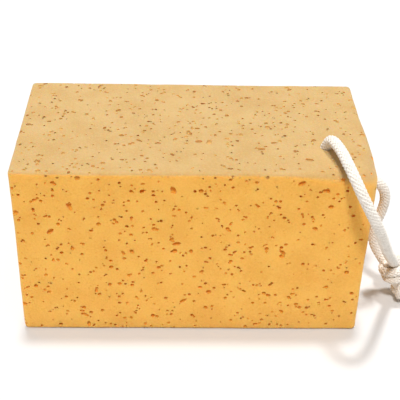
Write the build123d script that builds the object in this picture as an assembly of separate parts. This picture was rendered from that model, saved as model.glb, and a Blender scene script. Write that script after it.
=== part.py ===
from build123d import *
import math
import os

# A cleaning sponge: a rectangular block of open-pore foam that stands on its long narrow side,
# and a soft cord that is threaded through the block near its right-hand end and tied in a knot.
# Millimetres, +Z up. The origin is at the bottom of the block, in the middle of its base, and
# the block's front face looks along -Y.

# The block
BLOCK_LENGTH = 200.0
BLOCK_DEPTH = 105.0
BLOCK_HEIGHT = 113.0
EDGE_RADIUS = 2.5

# The cord, and the channel that it fills
CORD_DIAMETER = 6.0
CHANNEL_CLEARANCE = 0.15  # all round the cord, inside the foam
TOP_HOLE_TO_END = 24.0  # from the hole in the top face to the right-hand end face
TOP_HOLE_TO_FRONT = 29.4  # from the hole in the top face to the front face
END_HOLE_TO_TOP = 24.0  # from the hole in the end face to the top face
END_HOLE_TO_FRONT = 32.0  # from the hole in the end face to the front face
CHANNEL_DEPTH = 9.0  # how far the channel runs straight in from each hole
CHANNEL_OVERRUN = 6.0  # how far the cutter stands out of each hole
MIDDLE_TO_END = 21.5  # from the bend inside the foam to the right-hand end face
MIDDLE_TO_FRONT = 35.5
MIDDLE_TO_TOP = 18.5

# The knot that ties both legs together, a barrel that leans on its lower end
KNOT_LENGTH = 27.0
KNOT_DIAMETER = 21.0
KNOT_END_DIAMETER = 14.0
KNOT_AXIS = Vector(0.45, -0.12, -0.885).normalized()
KNOT_X = 132.5
KNOT_Y = -20.5
FLOOR_CLEARANCE = 0.1  # what lies on the floor is this far above the block's base

# The cord's route, as points that were set by hand. The front leg rises out of the top face,
# bends over, crosses the front top edge and leans down to the knot. The side leg leaves the
# end face, droops and comes down beside it. The tails lie on the floor.
FRONT_LEG_ROUTE = [
    (77.5, -27.0, 121.0),
    (81.3, -39.1, 121.3),
    (84.0, -53.5, 119.6),
    (86.9, -61.5, 115.5),
    (91.4, -67.2, 107.5),
    (97.5, -68.5, 96.5),
    (103.9, -64.0, 83.0),
    (109.7, -55.5, 68.5),
    (115.9, -43.5, 53.0),
    (122.5, -30.0, 38.0),
    (128.6, -18.6, 25.0),
]
SIDE_LEG_ROUTE = [
    (107.5, -19.2, 88.2),
    (113.5, -18.0, 83.0),
    (117.0, -16.0, 73.5),
    (116.0, -14.2, 61.5),
    (113.3, -12.8, 50.0),
    (114.0, -12.0, 39.0),
    (118.5, -13.0, 29.5),
    (124.6, -15.0, 21.5),
]
CHANNEL_MIDDLE = [
    (BLOCK_LENGTH / 2 - MIDDLE_TO_END, MIDDLE_TO_FRONT - BLOCK_DEPTH / 2, BLOCK_HEIGHT - MIDDLE_TO_TOP),
]
TAIL_ROUTES = [
    [(137.5, -19.0, 6.0), (144.5, -21.0, 3.1), (153.0, -22.5, 3.1), (161.5, -21.0, 3.1)],
    [(135.5, -26.0, 6.0), (140.5, -33.0, 3.1), (146.5, -40.0, 3.1), (151.0, -48.0, 3.1)],
]


def largest_radii(points):
    """The radius at each corner of a route: 0.45 of its shorter run over the tangent of half
    the turn."""
    radii = []
    for before, here, after in zip(points, points[1:], points[2:]):
        arriving, leaving = here - before, after - here
        half_turn = math.radians(arriving.get_angle(leaving)) / 2
        shorter_run = min(arriving.length, leaving.length)
        radii.append(0.45 * shorter_run / math.tan(half_turn))
    return radii


def cord_line(points):
    """Straight runs joined by tangent arcs, each as large as its two runs allow."""
    points = [Vector(*point) for point in points]
    return FilletPolyline(*points, radius=largest_radii(points))


def longer_at_both_ends(points, distance):
    """The same line with its first and last runs made longer and its arcs unchanged."""
    first, *middle, last = points
    ends = beyond(first, middle[0], distance), beyond(last, middle[-1], distance)
    return FilletPolyline(ends[0], *middle, ends[1], radius=largest_radii(points))


def tube(line, diameter):
    """A round bar swept along a line."""
    section = Plane(origin=line @ 0, z_dir=line % 0) * Circle(diameter / 2)
    return sweep(section, path=line)


def beyond(end, inner, distance):
    """The point that lies a distance past the end of a run that comes from inner."""
    return end + (end - inner).normalized() * distance


def end_knot():
    """The outer shape of the knot, seated so that its lower end rests on the floor."""
    half_length, middle, end = KNOT_LENGTH / 2, KNOT_DIAMETER / 2, KNOT_END_DIAMETER / 2
    bulge = ThreePointArc((end, -half_length), (middle, 0), (end, half_length))
    outline = Polyline((end, half_length), (0, half_length), (0, -half_length), (end, -half_length))
    barrel = revolve(Plane.XZ * make_face([bulge, outline]), Axis.Z)
    leaning = Plane(origin=(KNOT_X, KNOT_Y, 0), z_dir=KNOT_AXIS) * barrel
    return Pos(0, 0, FLOOR_CLEARANCE - leaning.bounding_box().min.Z) * leaning


top_hole = Vector(
    BLOCK_LENGTH / 2 - TOP_HOLE_TO_END, -BLOCK_DEPTH / 2 + TOP_HOLE_TO_FRONT, BLOCK_HEIGHT
)
end_hole = Vector(
    BLOCK_LENGTH / 2, -BLOCK_DEPTH / 2 + END_HOLE_TO_FRONT, BLOCK_HEIGHT - END_HOLE_TO_TOP
)

# Inside the foam each end of the channel runs straight in line with the leg that leaves it.
front_start, side_start = Vector(*FRONT_LEG_ROUTE[0]), Vector(*SIDE_LEG_ROUTE[0])
channel_points = [
    beyond(top_hole, front_start, CHANNEL_DEPTH),
    *(Vector(*point) for point in CHANNEL_MIDDLE),
    beyond(end_hole, side_start, CHANNEL_DEPTH),
]
in_block_points = [top_hole, *channel_points, end_hole]
front_leg_points = [top_hole, *(Vector(*point) for point in FRONT_LEG_ROUTE)]
side_leg_points = [end_hole, *(Vector(*point) for point in SIDE_LEG_ROUTE)]

block = Box(
    BLOCK_LENGTH, BLOCK_DEPTH, BLOCK_HEIGHT, align=(Align.CENTER, Align.CENTER, Align.MIN)
)
block = fillet(block.edges(), EDGE_RADIUS)
cutter_line = longer_at_both_ends(in_block_points, CHANNEL_OVERRUN)
block -= tube(cutter_line, CORD_DIAMETER + 2 * CHANNEL_CLEARANCE)

knot = end_knot()
tails = [tube(cord_line(route), CORD_DIAMETER) - knot for route in TAIL_ROUTES]

PARTS = {
    "sponge_block": block,
    "cord_in_block": tube(cord_line(in_block_points), CORD_DIAMETER),
    "cord_front_leg": tube(cord_line(front_leg_points), CORD_DIAMETER) - knot,
    "cord_side_leg": tube(cord_line(side_leg_points), CORD_DIAMETER) - knot,
    "end_knot": knot,
    "cord_tails": Compound(children=[solid for tail in tails for solid in tail.solids()]),
}

os.makedirs("parts", exist_ok=True)
for node, shape in PARTS.items():
    export_step(shape, f"parts/{node}.step")

# Each stretch of the cord: its length, its volume against section times length, its radii.
STRETCHES = {
    "cord_in_block": in_block_points,
    "cord_front_leg": front_leg_points,
    "cord_side_leg": side_leg_points,
    "cord_tails, first": [Vector(*point) for point in TAIL_ROUTES[0]],
    "cord_tails, second": [Vector(*point) for point in TAIL_ROUTES[1]],
}
for name, points in STRETCHES.items():
    line = cord_line(points)
    volume, expected = tube(line, CORD_DIAMETER).volume, math.pi * CORD_DIAMETER**2 / 4 * line.length
    radii = ", ".join(f"{radius:.1f}" for radius in largest_radii(points))
    print(f"{name}: length {line.length:.1f}, volume {volume:.1f} of {expected:.1f}, radii {radii}")
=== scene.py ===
import bmesh
import bpy
import math
import random
from mathutils import Matrix, Vector, noise


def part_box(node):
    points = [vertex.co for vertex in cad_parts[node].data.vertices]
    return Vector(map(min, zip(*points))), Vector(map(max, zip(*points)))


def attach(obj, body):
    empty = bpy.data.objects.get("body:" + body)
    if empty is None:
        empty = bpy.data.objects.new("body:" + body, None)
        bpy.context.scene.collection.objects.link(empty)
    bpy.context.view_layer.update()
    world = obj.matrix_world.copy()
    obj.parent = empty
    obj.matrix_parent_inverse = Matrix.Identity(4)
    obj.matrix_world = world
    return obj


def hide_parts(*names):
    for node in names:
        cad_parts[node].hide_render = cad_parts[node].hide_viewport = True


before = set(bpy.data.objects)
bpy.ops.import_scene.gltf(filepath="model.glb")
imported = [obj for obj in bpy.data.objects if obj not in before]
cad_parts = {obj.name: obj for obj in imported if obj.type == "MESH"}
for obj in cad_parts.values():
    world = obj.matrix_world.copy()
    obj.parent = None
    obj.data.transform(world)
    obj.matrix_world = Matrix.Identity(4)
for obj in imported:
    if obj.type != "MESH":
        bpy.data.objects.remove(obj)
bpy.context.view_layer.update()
noise.seed_set(20)  # unseeded, this noise starts from the clock and no two runs match


# The camera stands in front of the block, a little to its left, and looks down on it from
# about knee height over a table.
CAMERA_PLACE = (-0.0084, -0.4680, 0.3844)
CAMERA_TURN = -1.75
CAMERA_TILT = 90 - 34.75
CAMERA_ROLL = 1.5

camera = bpy.data.objects.new("camera", bpy.data.cameras.new("camera"))
camera.data.lens = 82.75
camera.matrix_world = (
    Matrix.Translation(CAMERA_PLACE)
    @ Matrix.Rotation(math.radians(CAMERA_TURN), 4, "Z")
    @ Matrix.Rotation(math.radians(CAMERA_TILT), 4, "X")
    @ Matrix.Rotation(math.radians(CAMERA_ROLL), 4, "Z")
)
bpy.context.collection.objects.link(camera)
bpy.context.scene.camera = camera


# The cord is a soft white cotton braid of sixteen yarns over a core. Its two free legs leave
# the foam by the hole in the top face and the hole in the right-hand end, and meet in the knot.
CORD_DIAMETER = 0.006
YARNS_EACH_WAY = 8
YARN_RADIUS = 0.00074
BRAID_LAY = 0.021  # the length in which a yarn goes once round the cord
BRAID_WAVE = 0.00028  # how far a yarn rises and dips as it crosses the others
STEPS_PER_CROSSING = 4
CORE_RADIUS = 0.0021
TOP_START = (0.0753, -0.0214, 0.1095)  # where the front leg begins, a little down its hole
END_START = (0.0961, -0.0212, 0.0894)  # where the side leg begins, a little down its hole
YARN_LIGHT = (0.925, 0.872, 0.800, 1.0)
YARN_DARK = (0.755, 0.683, 0.595, 1.0)

TOP_HOLE = (0.0760, -0.0231, 0.1130)
END_HOLE = (0.1000, -0.0205, 0.0890)
FRONT_LEG_ROUTE = [
    TOP_START,
    TOP_HOLE,
    (0.0775, -0.0270, 0.1210),
    (0.0813, -0.0391, 0.1213),
    (0.0840, -0.0535, 0.1196),
    (0.0869, -0.0615, 0.1155),
    (0.0914, -0.0672, 0.1075),
    (0.0975, -0.0685, 0.0965),
    (0.1039, -0.0640, 0.0830),
    (0.1097, -0.0555, 0.0685),
    (0.1159, -0.0435, 0.0530),
    (0.1225, -0.0300, 0.0380),
    (0.1286, -0.0186, 0.0250),
]
SIDE_LEG_ROUTE = [
    END_START,
    END_HOLE,
    (0.1075, -0.0192, 0.0882),
    (0.1135, -0.0180, 0.0830),
    (0.1170, -0.0160, 0.0735),
    (0.1160, -0.0142, 0.0615),
    (0.1133, -0.0128, 0.0500),
    (0.1140, -0.0120, 0.0390),
    (0.1185, -0.0130, 0.0295),
    (0.1246, -0.0150, 0.0215),
]
IN_FOAM_ROUTE = [
    TOP_START,
    (0.0745, -0.0192, 0.1050),
    (0.0785, -0.0170, 0.0945),
    (0.0912, -0.0220, 0.0899),
    END_START,
]


class Wire:
    """A socket in a material, on which sums and products add the Math nodes that they need."""

    def __init__(self, tree, socket):
        self.tree = tree
        self.socket = socket

    def node(self, kind, settings=None, inputs=None, output=0):
        """Adds a node of any kind: first its settings, then the values or wires of its sockets."""
        made = self.tree.nodes.new(kind)
        for name, value in (settings or {}).items():
            if name == "stops":
                for stop, (place, colour) in zip(made.color_ramp.elements, value):
                    stop.position = place
                    stop.color = colour
            else:
                setattr(made, name, value)
        for name, value in (inputs or {}).items():
            if isinstance(value, Wire):
                self.tree.links.new(value.socket, made.inputs[name])
            else:
                made.inputs[name].default_value = value
        return Wire(self.tree, made.outputs[output])

    def maths(self, operation, *values):
        return self.node("ShaderNodeMath", {"operation": operation}, dict(enumerate(values)))

    def vector(self, operation, *values, output=0):
        settings = {"operation": operation}
        return self.node("ShaderNodeVectorMath", settings, dict(enumerate(values)), output)

    def smooth(self, low, high):
        settings = {"interpolation_type": "SMOOTHSTEP"}
        inputs = {"Value": self, "From Min": low, "From Max": high}
        return self.node("ShaderNodeMapRange", settings, inputs)

    def mix(self, first, second):
        """A colour that goes from the first to the second as this wire goes from 0 to 1."""
        inputs = {0: self, 6: first, 7: second}
        return self.node("ShaderNodeMix", {"data_type": "RGBA"}, inputs, 2)

    def feed(self, node, name):
        self.tree.links.new(self.socket, node.inputs[name])

    def __add__(self, other):
        return self.maths("ADD", self, other)

    def __sub__(self, other):
        return self.maths("SUBTRACT", self, other)

    def __rsub__(self, other):
        return self.maths("SUBTRACT", other, self)

    def __mul__(self, other):
        return self.maths("MULTIPLY", self, other)

    __radd__ = __add__
    __rmul__ = __mul__


def new_material(name, constants):
    """A material with its fixed values set, its shader node, and a wire of Object coordinates."""
    material = bpy.data.materials.new(name)
    material.use_nodes = True
    shader = material.node_tree.nodes["Principled BSDF"]
    for socket, value in constants.items():
        shader.inputs[socket].default_value = value
    start = Wire(material.node_tree, None)
    return material, shader, start.node("ShaderNodeTexCoord", output=3)


def cotton():
    material, shader, place = new_material(
        "cotton_yarn", {"Specular IOR Level": 0.15, "Sheen Weight": 0.25, "Sheen Roughness": 0.5}
    )
    blotch = place.node("ShaderNodeTexNoise", inputs={"Vector": place, "Scale": 240.0, "Detail": 3.0})
    fibre = place.node("ShaderNodeTexNoise", inputs={"Vector": place, "Scale": 2600.0, "Detail": 2.0})
    # The yarn colour goes between a light and a dark tone in random patches and fibre by fibre.
    yarn_mottle = (0.45 * blotch + 0.75 * fibre).smooth(0.45, 0.85)
    yarn_mottle.mix(YARN_LIGHT, YARN_DARK).feed(shader, "Base Color")
    (0.8 + 0.18 * fibre).feed(shader, "Roughness")
    bump = {"Strength": 0.55, "Distance": 0.00025, "Height": fibre}
    place.node("ShaderNodeBump", inputs=bump).feed(shader, "Normal")
    return material


cotton_yarn = cotton()


def route_line(route):
    """The points of the smooth line that has these control points."""
    curve = bpy.data.curves.new("route", "CURVE")
    curve.dimensions = "3D"
    curve.resolution_u = 32
    spline = curve.splines.new("NURBS")
    spline.points.add(len(route) - 1)
    for point, place in zip(spline.points, route):
        point.co = (*place, 1.0)
    spline.order_u = 3
    spline.use_endpoint_u = True
    holder = bpy.data.objects.new("route", curve)
    mesh = bpy.data.meshes.new_from_object(holder)
    return [vertex.co.copy() for vertex in mesh.vertices]


def even_steps(line, step):
    """Places along a line at even distances, each with its distance and two cross directions."""
    places = []
    side = (line[1] - line[0]).orthogonal().normalized()
    travelled = 0.0
    due = 0.0
    for start, end in zip(line, line[1:]):
        run = (end - start).length
        if run < 1e-9:
            continue
        along = (end - start) / run
        side = (side - side.dot(along) * along).normalized()
        while due <= travelled + run:
            places.append((start + along * (due - travelled), due, side, along.cross(side)))
            due += step
        travelled += run
    return places


def braid(name, line, radius=CORD_DIAMETER / 2, fray=0.0):
    """A piece of braided cord along a line. Its last few millimetres, the fray, are spread out."""
    crossing = BRAID_LAY / (2 * YARNS_EACH_WAY)
    places = even_steps(line, crossing / STEPS_PER_CROSSING)
    length = places[-1][1]
    size = radius / (CORD_DIAMETER / 2)
    middle = radius - YARN_RADIUS * size
    curve = bpy.data.curves.new(name, "CURVE")
    curve.dimensions = "3D"
    curve.bevel_depth = YARN_RADIUS * size
    curve.bevel_resolution = 1
    curve.use_fill_caps = True

    def thread(points, thickness):
        spline = curve.splines.new("POLY")
        spline.points.add(len(points) - 1)
        spline.use_smooth = True
        for point, place in zip(spline.points, points):
            point.co = (*place, 1.0)
            point.radius = thickness

    thread([place for place, _, _, _ in places[::6]] + [places[-1][0]], CORE_RADIUS / YARN_RADIUS)
    for way in (1, -1):
        for yarn in range(YARNS_EACH_WAY):
            points = []
            for place, distance, side, across in places:
                angle = math.tau * (way * distance / BRAID_LAY + yarn / YARNS_EACH_WAY)
                wave = way * BRAID_WAVE * math.cos(math.pi * distance / crossing)
                loose = max(0.0, distance - length + fray) / fray if fray else 0.0
                out = (middle + wave * size) * (1 + 0.45 * loose * loose)
                out += 0.0004 * loose * noise.noise(Vector((yarn * 3.1, way * 5.3, distance * 400)))
                points.append(place + out * (math.cos(angle) * side + math.sin(angle) * across))
            thread(points, 1.0)
    holder = bpy.data.objects.new("yarns", curve)
    piece = bpy.data.objects.new(name, bpy.data.meshes.new_from_object(holder))
    for face in piece.data.polygons:
        face.use_smooth = True
    piece.data.materials.clear()
    piece.data.materials.append(cotton_yarn)
    bpy.context.collection.objects.link(piece)
    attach(piece, "root")
    return piece


front_line = route_line(FRONT_LEG_ROUTE)
side_line = route_line(SIDE_LEG_ROUTE)
front_leg = braid("front_leg", front_line)
side_leg = braid("side_leg", side_line)
cord_in_foam = braid("cord_in_foam", route_line(IN_FOAM_ROUTE))
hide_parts("cord_front_leg")
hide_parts("cord_side_leg")
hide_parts("cord_in_block")


# The knot is an overhand knot in both ends of the cord at once, pulled tight into a barrel.
# One pair of turns makes a collar round the top, and the ends come out below it as short tails.
KNOT_AXIS = Vector((0.45, -0.12, -0.885)).normalized()
KNOT_FRONT = Vector((0.02, -0.989, 0.145))
KNOT_STRAND_RADIUS = 0.0027
KNOT_HEART_RADIUS = 0.0062
KNOT_HEART_LENGTH = 0.021
FRAY_LENGTH = 0.006
# Each row is a place on the pair's way through the knot: distance from the axis, turn round it
# in degrees and distance down it, then how far each strand is from the pair's middle in turn
# and in distance down the axis. Lengths are in millimetres.
KNOT_COURSE = [
    (2.7, 0, -15.0, 90, 0.0),
    (2.7, 0, -9.0, 90, 0.0),
    (3.0, 20, 0.0, 80, 0.0),
    (5.0, 100, 7.5, 40, 0.0),
    (7.4, 150, 8.5, 22, 0.0),
    (8.0, 195, 5.0, 14, -1.8),
    (8.1, 245, 0.0, 6, -2.5),
    (8.1, 300, -4.6, 0, -2.7),
    (8.1, 360, -7.0, 0, -2.7),
    (8.1, 420, -7.6, 0, -2.7),
    (8.1, 480, -7.6, 0, -2.7),
    (8.1, 540, -7.2, 0, -2.7),
    (8.0, 595, -6.6, 0, -2.6),
    (7.0, 640, -5.0, 8, -2.2),
    (5.4, 675, -2.0, 20, -1.0),
    (6.8, 705, 2.5, 22, 0.0),
    (7.4, 725, 6.5, 22, 0.0),
    (6.2, 745, 10.0, 26, 0.0),
]
TAIL_ROUTES = [
    [(0.1375, -0.0190, 0.0060), (0.1445, -0.0210, 0.0033), (0.1530, -0.0225, 0.0033),
     (0.1615, -0.0210, 0.0033)],
    [(0.1355, -0.0260, 0.0060), (0.1405, -0.0330, 0.0033), (0.1465, -0.0400, 0.0033),
     (0.1510, -0.0480, 0.0033)],
]

knot_low, knot_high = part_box("end_knot")
knot_middle = (Vector(knot_low) + Vector(knot_high)) / 2
knot_front = (KNOT_FRONT - KNOT_FRONT.dot(KNOT_AXIS) * KNOT_AXIS).normalized()
knot_side = KNOT_AXIS.cross(knot_front)


def knot_place(out, turn, down):
    """A place in the knot, in metres, from its three distances in the knot's own directions."""
    angle = math.radians(turn)
    across = math.cos(angle) * knot_front + math.sin(angle) * knot_side
    return knot_middle + 0.001 * (out * across + down * KNOT_AXIS)


strands = []
for member, tail in zip((1, -1), TAIL_ROUTES):
    course = [
        knot_place(out, turn + member * spread, down + member * shift)
        for out, turn, down, spread, shift in KNOT_COURSE
    ]
    line = route_line(course + [Vector(place) for place in tail])
    strands.append(braid(f"strand_{len(strands)}", line, KNOT_STRAND_RADIUS, FRAY_LENGTH))

knot_mesh = bmesh.new()
bmesh.ops.create_icosphere(knot_mesh, subdivisions=4, radius=KNOT_HEART_RADIUS)
stretch = KNOT_HEART_LENGTH / (2 * KNOT_HEART_RADIUS)
bmesh.ops.scale(knot_mesh, vec=(1, 1, stretch), verts=knot_mesh.verts)
heart_turn = KNOT_AXIS.to_track_quat("Z", "Y").to_matrix().to_4x4()
bmesh.ops.transform(
    knot_mesh, matrix=Matrix.Translation(knot_middle) @ heart_turn, verts=knot_mesh.verts
)
for strand in strands:
    knot_mesh.from_mesh(strand.data)
    bpy.data.objects.remove(strand)
for vertex in knot_mesh.verts:
    vertex.co.z = max(vertex.co.z, 0.0002)
for face in knot_mesh.faces:
    face.smooth = True
    face.material_index = 0
cord_knot = bpy.data.objects.new("cord_knot", bpy.data.meshes.new("cord_knot"))
knot_mesh.to_mesh(cord_knot.data)
knot_mesh.free()
cord_knot.data.materials.append(cotton_yarn)
bpy.context.collection.objects.link(cord_knot)
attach(cord_knot, "root")
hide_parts("end_knot", "cord_tails")


# The sponge is one block of open-pore foam, cut square from a bigger slab, with its long edges
# a little worn. Round pores of all sizes open on every face, some run into each other, and a
# few torn slots show on the front. The cord's channel runs from the top face to the end face.
EDGE_RADIUS = 0.0025
SLICE = 0.005  # the block is cut into squares of this size, and finer by its edges
EDGE_CUTS = (0.0007, 0.0015, 0.0025, 0.0040, 0.0062, 0.0090)
WORN_RADIUS = 0.0075
WORN_REACH = 0.050
END_SWELL = 0.0010
DRAWN_OUT = 0.0020
DRAWN_MIDDLE = Vector((0.1000, -0.0340, 0.1080))
DRAWN_REACH = 0.030
WAVE_LONG = 0.0005
WAVE_SHORT = 0.00022
PORES_PER_SQUARE_METRE = 27000
CHAINED_PORES = 0.16  # the share of pores that have a smaller one grown into their side
CHANNEL_RADIUS = 0.0033
CHANNEL_OVERRUN = 0.014
HOLE_KEEP_OUT = 0.007
FOAM_FRONT = (0.950, 0.507, 0.092, 1.0)
# Painted light: the faces that look up get a duller colour of their own. It stands in for the sheen
# and light from above, and is set down to allow for the overhead lamp.
FOAM_TOP_PAINTED_LIGHT = (0.590, 0.388, 0.157, 1.0)
# Painted shade: the pore walls get a darker, deeper orange that stands in for the shade and bounced
# light in the hollows.
FOAM_PORE_PAINTED_SHADE = (0.860, 0.390, 0.046, 1.0)
FOAM_BLEED = (0.0040, 0.0014, 0.0004)  # how far each colour of light spreads in the foam
# Painted shade and painted light: the pore colour near the top, duller like the top's painted colour.
TOP_PORE_PAINTED_SHADE_AND_LIGHT = (0.640, 0.400, 0.135, 1.0)
SIDE_TEARS_PER_SQUARE_METRE = 1300  # the largest openings, on the upright faces
FLAT_TEARS_PER_SQUARE_METRE = 550  # and on the top and the base
TEAR_TO_EDGE = 0.004
TEAR_SUNK = 0.0004  # how far the middle of a tear lies under the face

random.seed(20)
block_low, block_high = (Vector(corner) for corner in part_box("sponge_block"))
block_middle = (block_low + block_high) / 2
block_half = (block_high - block_low) / 2

worn_corner = Vector((block_high.x, block_low.y, block_high.z))


def worked(sharp):
    """Where a place on the sharp-edged block lies on the real one."""
    # All edges are rounded, and the corner that the cord goes round is worn rounder
    place = sharp.copy()
    nearness = max(0.0, 1 - (place - worn_corner).length / WORN_REACH)
    radius = EDGE_RADIUS + WORN_RADIUS * nearness * nearness * (3 - 2 * nearness)
    from_middle = place - block_middle
    press = Vector([max(0.0, radius - block_half[i] + abs(from_middle[i])) for i in range(3)])
    if press.length > 1e-7:
        kept = max(press) / press.length
        for i in range(3):
            place[i] -= math.copysign(press[i] * (1 - kept), from_middle[i])
    # The cord also draws the end out round its hole, and no face of cut foam is quite flat
    along = max(0.0, (place.x - block_middle.x) / block_half.x) ** 6
    drawn = math.exp(-((place - DRAWN_MIDDLE).length / DRAWN_REACH) ** 2)
    place.x += along * (END_SWELL + DRAWN_OUT * drawn)
    drift = noise.noise_vector(place * 14) * WAVE_LONG + noise.noise_vector(place * 95) * WAVE_SHORT
    drift.z *= min(1.0, max(0.0, place.z - block_low.z) / 0.02)
    return place + drift


# A pore is a place, its three half sizes, and the way that its own directions are turned
pores = []


def add_pore(place, half_sizes, turn):
    clear_of_cord = min((place - Vector(hole)).length for hole in (TOP_HOLE, END_HOLE))
    if clear_of_cord > HOLE_KEEP_OUT + max(half_sizes):
        pores.append((place, half_sizes, turn))


# The largest openings are torn longer than they are wide, each in its own direction
tearing = random.Random(7)
for axis in range(3):
    wide, tall = [other for other in range(3) if other != axis]
    per_area = FLAT_TEARS_PER_SQUARE_METRE if axis == 2 else SIDE_TEARS_PER_SQUARE_METRE
    for way in (-1, 1):
        for _ in range(round(4 * block_half[wide] * block_half[tall] * per_area)):
            place = block_middle.copy()
            place[axis] += way * block_half[axis]
            place[wide] += tearing.uniform(-1, 1) * (block_half[wide] - TEAR_TO_EDGE)
            place[tall] += tearing.uniform(-1, 1) * (block_half[tall] - TEAR_TO_EDGE)
            place = worked(place)
            place[axis] -= way * TEAR_SUNK
            sizes = [0.0, 0.0, 0.0]
            sizes[wide] = 0.0013 + 0.0015 * tearing.random() ** 2
            sizes[tall] = tearing.uniform(0.0010, 0.0016)
            sizes[axis] = 0.45 * (sizes[wide] + sizes[tall])
            add_pore(place, sizes, Matrix.Rotation(tearing.uniform(0, math.pi), 4, "XYZ"[axis]))

for axis in range(3):
    wide, tall = [other for other in range(3) if other != axis]
    area = 4 * block_half[wide] * block_half[tall]
    for way in (-1, 1):
        for _ in range(round(area * PORES_PER_SQUARE_METRE)):
            place = block_middle.copy()
            place[wide] += random.uniform(-1, 1) * (block_half[wide] - 0.001)
            place[tall] += random.uniform(-1, 1) * (block_half[tall] - 0.001)
            radius = 0.00055 + 0.0006 * random.random() ** 1.4 + 0.0006 * random.random() ** 12
            place[axis] += way * block_half[axis]
            place = worked(place)
            place[axis] -= way * radius * random.uniform(0.0, 0.72)
            turn = Matrix.Rotation(random.uniform(0, math.tau), 4, Vector((0, 0, 1)))
            turn = turn @ Matrix.Rotation(random.uniform(0, math.tau), 4, Vector((1, 0, 0)))
            sizes = [radius * random.uniform(0.85, 1.3), radius, radius * random.uniform(0.8, 1.1)]
            add_pore(place, sizes, turn)
            if random.random() < CHAINED_PORES:
                slip = random.uniform(0, math.tau)
                beside = place.copy()
                beside[wide] += 1.25 * radius * math.cos(slip)
                beside[tall] += 1.25 * radius * math.sin(slip)
                add_pore(beside, [0.8 * size for size in sizes], turn)

# Pores that touch are cut in separate rounds, so that the cutters in each are clear of each other
rounds = []
for pore in sorted(pores, key=lambda pore: -max(pore[1])):
    reach = max(pore[1]) * 1.15
    for cut in rounds:
        if all((pore[0] - other[0]).length > reach + max(other[1]) * 1.15 for other in cut):
            cut.append(pore)
            break
    else:
        rounds.append([pore])

foam_mesh = bmesh.new()
bmesh.ops.create_cube(foam_mesh, size=2)
bmesh.ops.scale(foam_mesh, vec=block_half, verts=foam_mesh.verts)
bmesh.ops.translate(foam_mesh, vec=block_middle, verts=foam_mesh.verts)
for axis in range(3):
    across = Vector([1.0 if other == axis else 0.0 for other in range(3)])
    full = 2 * block_half[axis]
    slices = round((full - 2 * EDGE_CUTS[-1]) / SLICE)
    cuts = [EDGE_CUTS[-1] + (full - 2 * EDGE_CUTS[-1]) * cut / slices for cut in range(slices + 1)]
    for cut in [*EDGE_CUTS[:-1], *cuts, *(full - near for near in EDGE_CUTS[:-1])]:
        at = block_low + across * cut
        parts = foam_mesh.verts[:] + foam_mesh.edges[:] + foam_mesh.faces[:]
        bmesh.ops.bisect_plane(foam_mesh, geom=parts, plane_co=at, plane_no=across)
for vertex in foam_mesh.verts:
    vertex.co = worked(vertex.co)
foam_block = bpy.data.objects.new("foam_block", bpy.data.meshes.new("foam_block"))
foam_mesh.to_mesh(foam_block.data)
foam_mesh.free()
bpy.context.collection.objects.link(foam_block)
for name in ("skin", "pore"):
    foam_block.data.materials.append(bpy.data.materials.new(name))


def cut_away(piece, cutter_mesh):
    """Takes the closed shapes of a mesh out of a piece."""
    cutter_mesh.materials.clear()
    for name in ("skin", "pore"):
        cutter_mesh.materials.append(bpy.data.materials[name])
    for face in cutter_mesh.polygons:
        face.material_index = 1
    cutter = bpy.data.objects.new("cutter", cutter_mesh)
    bpy.context.collection.objects.link(cutter)
    modifier = piece.modifiers.new("cut", "BOOLEAN")
    modifier.operation = "DIFFERENCE"
    modifier.solver = "MANIFOLD"
    modifier.object = cutter
    finished = bpy.data.meshes.new_from_object(
        piece.evaluated_get(bpy.context.evaluated_depsgraph_get())
    )
    piece.modifiers.clear()
    piece.data = finished
    bpy.data.objects.remove(cutter)


small_ball = bmesh.new()
bmesh.ops.create_icosphere(small_ball, subdivisions=2, radius=1)
large_ball = bmesh.new()
bmesh.ops.create_icosphere(large_ball, subdivisions=3, radius=1)
for cut in rounds:
    cutters = bmesh.new()
    for place, half_sizes, turn in cut:
        ball = large_ball if max(half_sizes) > 0.0016 else small_ball
        shape = Matrix.Translation(place) @ turn @ Matrix.Diagonal((*half_sizes, 1))
        copies = {}
        for vertex in ball.verts:
            out = shape @ vertex.co - place
            swell = 0.16 * noise.noise((place + out) * 900) + 0.10 * noise.noise((place + out) * 2200)
            copies[vertex] = cutters.verts.new(place + out * (1 + swell))
        for face in ball.faces:
            cutters.faces.new([copies[vertex] for vertex in face.verts])
    cutter_mesh = bpy.data.meshes.new("pores")
    cutters.to_mesh(cutter_mesh)
    cutters.free()
    cut_away(foam_block, cutter_mesh)
small_ball.free()
large_ball.free()

channel = bpy.data.curves.new("channel", "CURVE")
channel.dimensions = "3D"
channel.bevel_depth = CHANNEL_RADIUS
channel.bevel_resolution = 6
channel.use_fill_caps = True
channel_line = route_line(IN_FOAM_ROUTE)
channel_line[0] += (Vector(TOP_HOLE) - channel_line[0]).normalized() * CHANNEL_OVERRUN
channel_line[-1] += (Vector(END_HOLE) - channel_line[-1]).normalized() * CHANNEL_OVERRUN
spline = channel.splines.new("POLY")
spline.points.add(len(channel_line) - 1)
for point, place in zip(spline.points, channel_line):
    point.co = (*place, 1.0)
channel_mesh = bpy.data.meshes.new_from_object(bpy.data.objects.new("channel", channel))
cleaned = bmesh.new()
cleaned.from_mesh(channel_mesh)
bmesh.ops.remove_doubles(cleaned, verts=cleaned.verts, dist=1e-6)
bmesh.ops.recalc_face_normals(cleaned, faces=cleaned.faces)
cleaned.to_mesh(channel_mesh)
cleaned.free()
cut_away(foam_block, channel_mesh)

foam_block.data.validate()

# Every point that only pore walls meet at is marked as lying in a pore, and the foam's material
# paints shade there.
on_skin = set()
for face in foam_block.data.polygons:
    face.use_smooth = True
    if face.material_index == 0:
        on_skin.update(face.vertices)
    face.material_index = 0
inside_mark = foam_block.data.attributes.new("inside_pore", "FLOAT", "POINT")
for vertex in foam_block.data.vertices:
    inside_mark.data[vertex.index].value = 0.0 if vertex.index in on_skin else 1.0
foam_block.data.set_sharp_from_angle(angle=math.radians(38))


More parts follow.
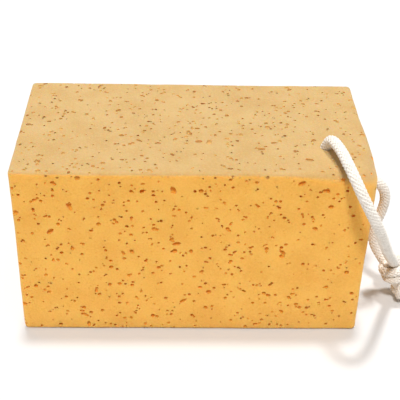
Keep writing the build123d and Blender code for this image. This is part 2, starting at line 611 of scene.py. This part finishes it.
def foam():
    material, shader, place = new_material(
        "open_pore_foam", {"Specular IOR Level": 0.12, "Sheen Weight": 0.18, "Sheen Roughness": 0.6,
                           "Subsurface Weight": 0.35, "Subsurface Radius": FOAM_BLEED,
                           "Subsurface Scale": 1.0}
    )
    inside_pore = place.node("ShaderNodeAttribute", {"attribute_name": "inside_pore"}, output=2)
    blotch = place.node("ShaderNodeTexNoise", inputs={"Vector": place, "Scale": 55.0, "Detail": 3.0})
    grain = place.node("ShaderNodeTexNoise", inputs={"Vector": place, "Scale": 900.0, "Detail": 4.0})
    cells = place.node("ShaderNodeTexVoronoi", inputs={"Vector": place, "Scale": 1150.0})
    specks = place.node("ShaderNodeTexVoronoi", inputs={"Vector": place, "Scale": 360.0})
    # Painted shade: small round specks are dented by the bump and also coloured with the pores'
    # painted shade, so that they show dark.
    small_holes = (1 - specks.smooth(0.10, 0.24)) * blotch.smooth(0.30, 0.52)

    height = place.node("ShaderNodeSeparateXYZ", inputs={0: place}, output=2)
    facing = place.node("ShaderNodeNewGeometry", output=1)
    upward = facing.node("ShaderNodeSeparateXYZ", inputs={0: facing}, output=2)
    # Painted light: faces that look up, and pores within a few millimetres of the top, take the top's
    # painted colour.
    near_top = height.smooth(block_high.z - 0.0050, block_high.z - 0.0012)
    faces_up_painted_light = upward.smooth(0.10, 0.75)
    skin = faces_up_painted_light.mix(FOAM_FRONT, FOAM_TOP_PAINTED_LIGHT)
    tint = (0.55 * blotch + 0.45 * grain).smooth(0.34, 0.70)
    shade = skin.node("ShaderNodeMix", {"data_type": "RGBA", "blend_type": "MULTIPLY"},
                      {0: tint, 6: skin, 7: (0.90, 0.83, 0.70, 1.0)}, 2)
    # Painted shade: pore walls and the small specks take the darker pore colour in place of the shade
    # in the hollows; near the top it is duller, for the top's painted light.
    painted_pore_shade = near_top.mix(FOAM_PORE_PAINTED_SHADE, TOP_PORE_PAINTED_SHADE_AND_LIGHT)
    speckled = (0.8 * small_holes).mix(shade, painted_pore_shade)
    colour = inside_pore.smooth(0.1, 1.0).mix(speckled, painted_pore_shade)
    colour.feed(shader, "Base Color")
    (0.82 + 0.15 * grain).feed(shader, "Roughness")
    relief = 0.55 * grain + 0.35 * cells - 0.6 * small_holes
    bump = {"Strength": 0.6, "Distance": 0.0004, "Height": relief}
    place.node("ShaderNodeBump", inputs=bump).feed(shader, "Normal")
    return material


foam_block.data.materials.clear()
foam_block.data.materials.append(foam())
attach(foam_block, "root")
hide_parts("sponge_block")


# The sponge stands on a wide white sheet, in white surroundings, with one lamp high
# in front of it and one straight overhead.
FLOOR_SIZE = 6.0
FLOOR_WHITE = (0.73, 0.73, 0.73, 1.0)
ROOM_LIGHT = 0.34
FRONT_STRENGTH = 1.9
FRONT_TRAVEL = Vector((0.1, 1.0, -1.95))
FRONT_SPREAD = 7.0
OVERHEAD_STRENGTH = 1.8
OVERHEAD_TRAVEL = Vector((0.0, -0.12, -1.0))
OVERHEAD_SPREAD = 6.0

floor_mesh = bmesh.new()
bmesh.ops.create_grid(floor_mesh, x_segments=1, y_segments=1, size=FLOOR_SIZE / 2)
floor = bpy.data.objects.new("floor", bpy.data.meshes.new("floor"))
floor_mesh.to_mesh(floor.data)
floor_mesh.free()
bpy.context.collection.objects.link(floor)
white_sheet, sheet_shader, sheet_place = new_material(
    "white_sheet", {"Base Color": FLOOR_WHITE, "Roughness": 0.9, "Specular IOR Level": 0.0}
)
floor.data.materials.append(white_sheet)

world = bpy.data.worlds.new("white_room")
bpy.context.scene.world = world
world.use_nodes = True
sky = Wire(world.node_tree, None).node("ShaderNodeLightPath")
background = world.node_tree.nodes["Background"]
background.inputs["Color"].default_value = (1.0, 1.0, 1.0, 1.0)
(ROOM_LIGHT + (1 - ROOM_LIGHT) * sky).feed(background, "Strength")

for name, strength, travel, spread in (
    ("front_lamp", FRONT_STRENGTH, FRONT_TRAVEL, FRONT_SPREAD),
    ("overhead_lamp", OVERHEAD_STRENGTH, OVERHEAD_TRAVEL, OVERHEAD_SPREAD),
):
    lamp = bpy.data.objects.new(name, bpy.data.lights.new(name, "SUN"))
    lamp.data.energy = strength
    lamp.data.angle = math.radians(spread)
    lamp.rotation_euler = travel.to_track_quat("-Z", "Y").to_euler()
    bpy.context.collection.objects.link(lamp)

bpy.context.scene.view_settings.view_transform = "Standard"
